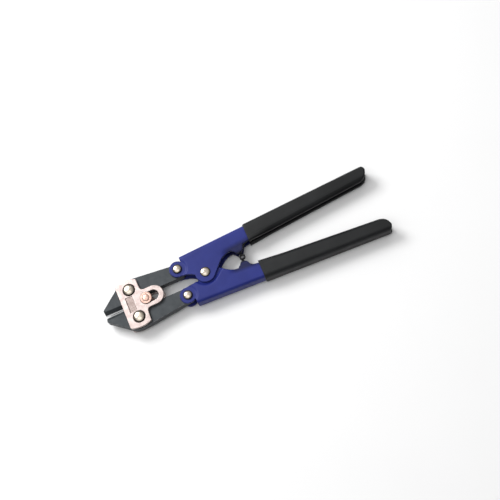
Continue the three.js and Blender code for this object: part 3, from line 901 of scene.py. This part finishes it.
def handle(has_inner_lobes):
    """A pressed channel. Its flat pattern has close points where it is pressed and few elsewhere."""
    clearance = OPEN_PIVOT_CLEARANCE if has_inner_lobes else TURNING_GAP
    holes = []
    for pivot, radius in ((EAR_PIVOT, EAR_RIVET_SHANK + TURNING_GAP),
                          (HANDLE_PIVOT, HANDLE_RIVET_SHANK + clearance)):
        p, b = flat_point(*pivot)
        holes += [circle((p, side * b), radius) for side in (1, -1)]
    extra = [(p, b) for b in pattern_rows() for p in np.arange(0.6, PATTERN_END, PLAIN_SPACING)]
    pressed = (np.arange(PATTERN_FRONT, PRESSED_END, PRESSED_SPACING), np.arange(0.4, 24, PRESSED_SPACING))
    plain = (np.arange(PRESSED_END, PATTERN_END, PLAIN_SPACING), np.arange(0.8, 17, 1.1))
    for along, across in (pressed, plain):
        extra += [(p, side * (FLANGE_START + b)) for p in along for b in across for side in (1, -1)]
    throat = (LOWER_THROAT, LOWER_LOBE_ANGLE) if has_inner_lobes else (UPPER_THROAT, UPPER_LOBE_ANGLE)
    loops = [handle_outline(*throat), *holes]
    rounds = [SHEET_ROUND] + [SHEET_HOLE_ROUND] * len(holes)
    shape = handle_shape(has_inner_lobes)
    points, faces, rims = rounded_slab(loops, rounds, SHEET, shape, extra, 0.4)
    # Painted shade: the spring tabs and turned-in lips carry a negative mark, so the paint is darkened
    # there.
    shaded = [shade_on_handle(u, v) for u, v, z in points]
    return points, faces, [-darkness if darkness > LEAST_SHADE else rim for darkness, rim in zip(shaded, rims)]


def shade_on_handle(u, v):
    """How much painted shade darkens the paint, from 0 to 1: on the spring's tabs and along the lips."""
    if v > WEB_FRONT[1] - SHEET:
        return 0
    return max(spring_tab(u, v), SHADE_ON_LIP * steel_lip(u, v))


# ---- Grips --------------------------------------------------------------------------------------

GRIP_SOLID = SHEET + 2 * GRIP_THICKNESS


def grip_shape(p, b, share):
    """The vinyl round the channel. Towards its inner edge each side rolls over into a full lip."""
    inside = CHANNEL_FACE - SHEET - GRIP_THICKNESS
    inner = section_point(b, INSIDE_BEND, inside - INSIDE_BEND, INSIDE_DEPTH)
    outer = section_point(b, BEND_RADIUS + GRIP_THICKNESS, WEB_HALF, BEND_RADIUS)
    depth, height = (i + (o - i) * share for i, o in zip(inner, outer))
    u, v, z = lifted(p, depth, height)
    if abs(b) > FLANGE_START:
        to_lip = v - inner_edge_v(u, GRIP_THICKNESS)
        fade = LIP_AT_MOUTH + (1 - LIP_AT_MOUTH) * smooth_step(u, GRIP_START, GRIP_START + LIP_FADE)
        depth_share = LIP_INSIDE + (1 - LIP_INSIDE) * share
        rolled = LIP_DROP * fade * lip_share(to_lip) * depth_share
        groove = LIP_GROOVE * share * max(0, 1 - abs(to_lip - LIP_WIDTH) / GROOVE_HALF_WIDTH)
        z -= math.copysign(rolled + groove, z)
    return u, v, z


def grip_outline():
    edge = [(GRIP_START, web_v(GRIP_START) - BEND_RADIUS)]
    edge += [(GRIP_START, inner_edge_v(GRIP_START, GRIP_THICKNESS))] + rear_corner(GRIP_THICKNESS)
    front = flat_point(*edge[0])[0]
    return whole_pattern([(front, 0), (front, WEB_HALF)], edge, GRIP_SPACING)


def grip():
    """A vinyl sleeve. Lines of points run along its lips, where it rolls over."""
    outline = grip_outline()
    start = flat_point(GRIP_START, inner_edge_v(GRIP_START))[0]
    rounds = [GRIP_MOUTH_ROUND if p < start + 0.5 else GRIP_ROUND for p, b in outline]
    extra = [(p, b) for b in pattern_rows() for p in np.arange(start, start + GRIP_LENGTH, GRIP_SPACING)]
    from_lip = list(np.arange(1.3, LIP_WIDTH + 0.8, 0.25)) + [5, 6.4, 7.8]
    lines = [flat_point(u, inner_edge_v(u, GRIP_THICKNESS) + distance)
             for distance in from_lip for u in np.arange(GRIP_START, HANDLE_END, GRIP_SPACING)]
    extra += [(p, side * b) for p, b in lines if b > FLANGE_START + 0.3 for side in (1, -1)]
    return rounded_slab([outline], [rounds], GRIP_SOLID, grip_shape, extra, 0.22)


# ---- Rivets, stud and bush ----------------------------------------------------------------------


def mirrored(half):
    """A profile for both faces from its upper half."""
    return [(r, -h) for r, h in reversed(half)] + half


def dome(radius, seat, crown):
    """A domed head: an eased seat, a short upright rim, then a full round up to the crown."""
    rim = DOME_RIM * (crown - seat)
    points = [(radius - DOME_EASE, seat), (radius, seat + DOME_EASE)]
    for i in range(DOME_STEPS + 1):
        turn = math.pi / 2 * i / DOME_STEPS
        points.append((radius * math.cos(turn), seat + rim + (crown - seat - rim) * math.sin(turn)))
    points[-1] = (0, crown)
    return points


def rivet(shank, head, seat, centre):
    """A rivet with the same domed head on both faces."""
    return turned(mirrored([(shank, seat)] + dome(head, seat, TOP)), centre)


def ring(inner, outer, half_length, centre):
    """A bush or roller with eased edges."""
    corners = [(inner, 0), (inner, -half_length), (outer, -half_length), (outer, half_length),
               (inner, half_length), (inner, 0)]
    return turned(filleted(corners, RING_EASE), centre)


def stud():
    """The stud that keeps the jaws in step, with a small boss on both faces."""
    seat = STUD_FLANGE_FACE + HEAD_GAP
    return turned(mirrored([(STUD_SHANK, seat)] + dome(STUD_BOSS, seat, TOP)), STUD)


def stud_washer():
    """Shouldered washer: the shoulder runs in the plate's slot, the flange lies on the plate."""
    bore, foot, seat = STUD_SHANK + TURNING_GAP, JAW_FACE + TURNING_GAP, PLATE_FACE + TURNING_GAP
    corners = [(bore, PLATE_FACE), (bore, foot), (STUD_SHOULDER, foot), (STUD_SHOULDER, seat),
               (STUD_FLANGE, seat), (STUD_FLANGE, STUD_FLANGE_FACE), (bore, STUD_FLANGE_FACE),
               (bore, PLATE_FACE)]
    return turned(filleted(corners, WASHER_EASE), STUD)


# ---- Return spring ------------------------------------------------------------------------------

LEG_LEAVES = LEG_ANGLES[0] + 90
COIL_SWEEP = 360 * COIL_TURNS - 2 * LEG_LEAVES
COIL_HALF = COIL_SWEEP / 360 * WIRE / 2


def coil():
    """The spring's turns, wound clockwise from the lower leg at the bottom to the upper leg at the top."""
    steps = COIL_STEPS_PER_TURN * COIL_TURNS
    path = []
    for i in range(steps + 1):
        angle = -LEG_LEAVES - COIL_SWEEP * i / steps
        path.append((*on_circle(COIL, COIL_RADIUS, angle), COIL_HALF * (2 * i / steps - 1)))
    return tube(path, WIRE / 2)


def spring_leg(side):
    """One end of the spring, up for side 1 and down for side -1: straight off the turns, then bent to
    lie in the handle's channel."""
    first, second = (side * angle for angle in LEG_ANGLES)
    start = on_circle(COIL, COIL_RADIUS, side * LEG_LEAVES)
    corner = on_circle(start, LEG_BEND, first)
    tip = on_circle(corner, LEG_LENGTH - LEG_BEND, second)
    path = spaced([start, on_circle(start, LEG_BEND - 2, first)], 1, closed=False)
    path += curve(path[-1], corner, on_circle(corner, 2, second), 8)[1:]
    path += spaced([path[-1], tip], 2, closed=False)[1:]
    return tube([(u, v, side * COIL_HALF) for u, v in path], WIRE / 2)


# ---- The tool -----------------------------------------------------------------------------------


def add_tool():
    plate, upper_jaw, washer = link_plate(), jaw(), stud_washer()
    jaw_pin = rivet(JAW_PIN_SHANK, JAW_PIN_HEAD, PLATE_FACE - RECESS_DEPTH + HEAD_GAP, JAW_PIVOT)
    ear_rivet = rivet(EAR_RIVET_SHANK, EAR_RIVET_HEAD, EAR_FACE + HEAD_GAP, EAR_PIVOT)
    handle_rivet = rivet(HANDLE_RIVET_SHANK, HANDLE_RIVET_HEAD, CHANNEL_FACE + HEAD_GAP, HANDLE_PIVOT)
    roller = ring(STUD_SHANK + TURNING_GAP, STUD_ROLLER, JAW_FACE, STUD)
    bush = ring(HANDLE_RIVET_SHANK + TURNING_GAP, BUSH_RADIUS, INNER_LOBE_FACE - SHEET - GAP, HANDLE_PIVOT)
    sleeve = grip()
    add_piece("front_link_plate", "link_plates", "nickel_plate", plate)
    add_piece("back_link_plate", "link_plates", "nickel_plate", plate, True)
    add_piece("upper_jaw_pin", "link_plates", "rivet_steel", jaw_pin)
    add_piece("lower_jaw_pin", "link_plates", "rivet_steel", jaw_pin, True)
    add_piece("upper_jaw", "upper_jaw", "jaw_steel", upper_jaw)
    add_piece("lower_jaw", "lower_jaw", "jaw_steel", upper_jaw, True)
    add_piece("center_stud", "center_stud", "stud_steel", stud())
    add_piece("stud_roller", "center_stud", "jaw_steel", roller)
    add_piece("front_stud_washer", "center_stud", "stud_steel", washer)
    add_piece("back_stud_washer", "center_stud", "stud_steel", washer, True)
    add_piece("upper_handle", "upper_handle", "blue_paint", handle(False))
    add_piece("lower_handle", "lower_handle", "blue_paint", handle(True), True)
    add_piece("upper_grip", "upper_handle", "black_vinyl", sleeve)
    add_piece("lower_grip", "lower_handle", "black_vinyl", sleeve, True)
    add_piece("upper_ear_rivet", "upper_handle", "rivet_steel", ear_rivet)
    add_piece("lower_ear_rivet", "lower_handle", "rivet_steel", ear_rivet, True)
    add_piece("handle_rivet", "upper_handle", "rivet_steel", handle_rivet)
    add_piece("handle_bush", "upper_handle", "jaw_steel", bush)
    add_piece("spring_coil", "spring_coil", "spring_wire", coil())
    add_piece("spring_upper_leg", "spring_upper_leg", "spring_wire", spring_leg(1))
    add_piece("spring_lower_leg", "spring_lower_leg", "spring_wire", spring_leg(-1))


# ---- Floor, light and camera --------------------------------------------------------------------

CAMERA_AZIMUTH, CAMERA_ELEVATION, CAMERA_ROLL = -1.5, 69.8, 22.3
CAMERA_DISTANCE = 0.8
CAMERA_LENS = 82.9
AIM = (0.0052, 0.0058)
FLOOR_REACH = 3


def direction(azimuth, elevation):
    """From the tool towards a point at an azimuth and elevation, in degrees. Azimuth 0 is -Y, 90 is +X."""
    a, e = math.radians(azimuth), math.radians(elevation)
    return Vector((math.sin(a) * math.cos(e), -math.cos(a) * math.cos(e), math.sin(e)))


def add_camera():
    """Looks down on the tool, rolled so that its handles rise to the right."""
    back = direction(CAMERA_AZIMUTH, CAMERA_ELEVATION)
    level = Vector((math.cos(math.radians(CAMERA_AZIMUTH)), math.sin(math.radians(CAMERA_AZIMUTH)), 0))
    upright = back.cross(level)
    roll = math.radians(CAMERA_ROLL)
    right = level * math.cos(roll) - upright * math.sin(roll)
    up = level * math.sin(roll) + upright * math.cos(roll)
    place = Vector((0, 0, MIDDLE_Z)) + right * AIM[0] + up * AIM[1] + back * CAMERA_DISTANCE
    camera = bpy.data.objects.new("camera", bpy.data.cameras.new("camera"))
    camera.data.lens = CAMERA_LENS
    camera.data.clip_start, camera.data.clip_end = 0.01, 20
    turn = Matrix((right, up, back)).transposed().to_4x4()
    camera.matrix_world = Matrix.Translation(place) @ turn
    bpy.context.scene.collection.objects.link(camera)
    bpy.context.scene.camera = camera


def add_light(name, azimuth, elevation, distance, size, power):
    """A soft square light that faces the tool."""
    light = bpy.data.lights.new(name, "AREA")
    light.shape, light.size, light.energy = "SQUARE", size, power
    lamp = bpy.data.objects.new(name, light)
    towards = direction(azimuth, elevation)
    lamp.location = towards * distance
    lamp.rotation_mode = "QUATERNION"
    lamp.rotation_quaternion = towards.to_track_quat("Z", "Y")
    bpy.context.scene.collection.objects.link(lamp)


def room():
    """A studio that is bright above the key light's side and dark towards the opposite horizon. The
    ramp runs over the cosine of the angle to the brightest place."""
    world = bpy.data.worlds.new("room")
    world.use_nodes = True
    tree = world.node_tree
    nearness = tree.nodes.new("ShaderNodeVectorMath")
    nearness.operation = "DOT_PRODUCT"
    nearness.inputs[1].default_value = direction(azimuth=215, elevation=65)
    tree.links.new(tree.nodes.new("ShaderNodeTexCoord").outputs["Generated"], nearness.inputs[0])
    ramp = tree.nodes.new("ShaderNodeValToRGB")
    tree.links.new(nearness.outputs["Value"], ramp.inputs["Fac"])
    dark, bright = ramp.color_ramp.elements
    dark.position, dark.color = 0.15, (0.05, 0.05, 0.055, 1)
    bright.position, bright.color = 0.75, (0.8, 0.8, 0.8, 1)
    tree.links.new(ramp.outputs["Color"], tree.nodes["Background"].inputs["Color"])
    return world


def add_studio():
    """A pale floor, a soft key from the upper handle's side, and even light from the room."""
    floor_mesh = bpy.data.meshes.new("floor")
    corners = [(a * FLOOR_REACH, b * FLOOR_REACH, 0) for a, b in ((-1, -1), (1, -1), (1, 1), (-1, 1))]
    floor_mesh.from_pydata(corners, [], [(0, 1, 2, 3)])
    floor = bpy.data.objects.new("floor", floor_mesh)
    paper = Surface("pale_paper", Roughness=0.9, Specular_IOR_Level=0.1)
    paper.colour(paper.mix(paper.noise(60, 3), (0.86, 0.86, 0.86), (0.88, 0.88, 0.88)))
    floor_mesh.materials.append(paper.material)
    bpy.context.scene.collection.objects.link(floor)
    bpy.context.scene.world = room()
    add_light("key", azimuth=214, elevation=47, distance=0.9, size=0.4, power=6.0)
    add_light("overhead", azimuth=300, elevation=75, distance=1.1, size=0.7, power=2.5)
    bpy.context.scene.view_settings.view_transform = "Standard"


add_tool()
add_studio()
add_camera()
